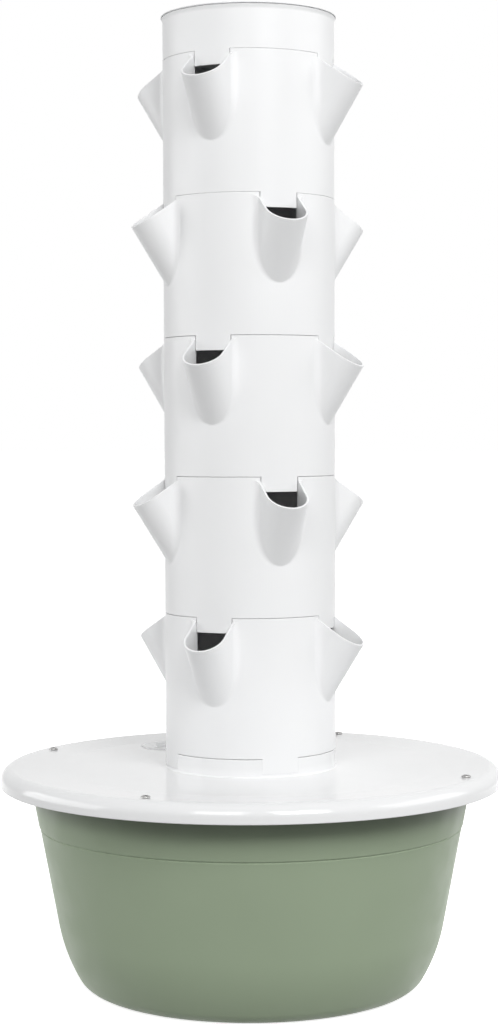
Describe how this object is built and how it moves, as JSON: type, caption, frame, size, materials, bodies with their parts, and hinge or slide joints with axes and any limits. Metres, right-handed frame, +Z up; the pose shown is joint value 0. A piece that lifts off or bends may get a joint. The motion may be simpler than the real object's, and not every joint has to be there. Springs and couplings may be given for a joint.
{
  "type": "vertical planter tower",
  "caption": "Freestanding vertical planter: stacked tube sections with tilted scoop pockets on a round water reservoir with a screwed lid, a riser pipe and a submersible pump inside.",
  "frame": {"origin": "middle of the reservoir's foot, on the surface it stands on", "axes": "+Z up along the tower; a pocket of the bottom section points along +X; the picture looks from between -Y and +X, about 25 degrees from -Y"},
  "size_m": [0.6465, 0.6466, 1.246],
  "materials": {
    "tower_white": "satin",
    "lid_white": "gloss",
    "cap_white": "satin",
    "reservoir_green": "satin",
    "tray_black": "matte",
    "screw_steel": "satin",
    "pipe_grey": "satin",
    "coupling_grey": "satin",
    "pump_black": "satin",
    "impeller_grey": "satin",
    "magnet": "matte",
    "shaft_steel": "polished",
    "rubber_black": "matte"
  },
  "bodies": {
    "base": {"reservoir": "reservoir_green", "lid": "lid_white", "lid_screws": "screw_steel", "pump_cable_gland": "rubber_black", "pump_feet": "rubber_black", "pump_housing": "pump_black", "pump_shaft": "shaft_steel", "pump_shaft_bushes": "rubber_black", "pump_strainer": "pump_black", "pump_volute": "pump_black", "lower_pipe_coupling": "coupling_grey", "riser_pipe_lower": "pipe_grey", "riser_pipe_middle": "pipe_grey", "riser_pipe_upper": "pipe_grey", "upper_pipe_coupling": "coupling_grey"},
    "fill_cap": {"fill_cap": "cap_white"},
    "section_1": {"section_1": "tower_white", "drip_tray_1": "tray_black"},
    "section_2": {"section_2": "tower_white", "drip_tray_2": "tray_black"},
    "section_3": {"section_3": "tower_white", "drip_tray_3": "tray_black"},
    "section_4": {"section_4": "tower_white", "drip_tray_4": "tray_black"},
    "section_5": {"section_5": "tower_white", "drip_tray_5": "tray_black"},
    "shower_cap": {"shower_cap": "tower_white"},
    "top_lid": {"top_lid": "tower_white"},
    "pump_rotor": {"pump_impeller": "impeller_grey", "pump_magnet": "magnet"}
  },
  "joints": [
    {"name": "section_1_lift", "type": "slide", "parent": "base", "child": "section_1", "axis": [0, 0, 1], "range_m": [0, 0.06]},
    {"name": "section_2_lift", "type": "slide", "parent": "section_1", "child": "section_2", "axis": [0, 0, 1], "range_m": [0, 0.06]},
    {"name": "section_3_lift", "type": "slide", "parent": "section_2", "child": "section_3", "axis": [0, 0, 1], "range_m": [0, 0.06]},
    {"name": "section_4_lift", "type": "slide", "parent": "section_3", "child": "section_4", "axis": [0, 0, 1], "range_m": [0, 0.06]},
    {"name": "section_5_lift", "type": "slide", "parent": "section_4", "child": "section_5", "axis": [0, 0, 1], "range_m": [0, 0.06]},
    {"name": "shower_cap_lift", "type": "slide", "parent": "section_5", "child": "shower_cap", "axis": [0, 0, 1], "range_m": [0, 0.06]},
    {"name": "top_lid_lift", "type": "slide", "parent": "shower_cap", "child": "top_lid", "axis": [0, 0, 1], "range_m": [0, 0.04]},
    {"name": "fill_cap_lift", "type": "slide", "parent": "base", "child": "fill_cap", "axis": [0, 0, 1], "range_m": [0, 0.04]},
    {"name": "pump_spin", "type": "hinge", "parent": "base", "child": "pump_rotor", "pos_m": [0, 0, 0.0612], "axis": [1, 0, 0], "continuous": true}
  ]
}
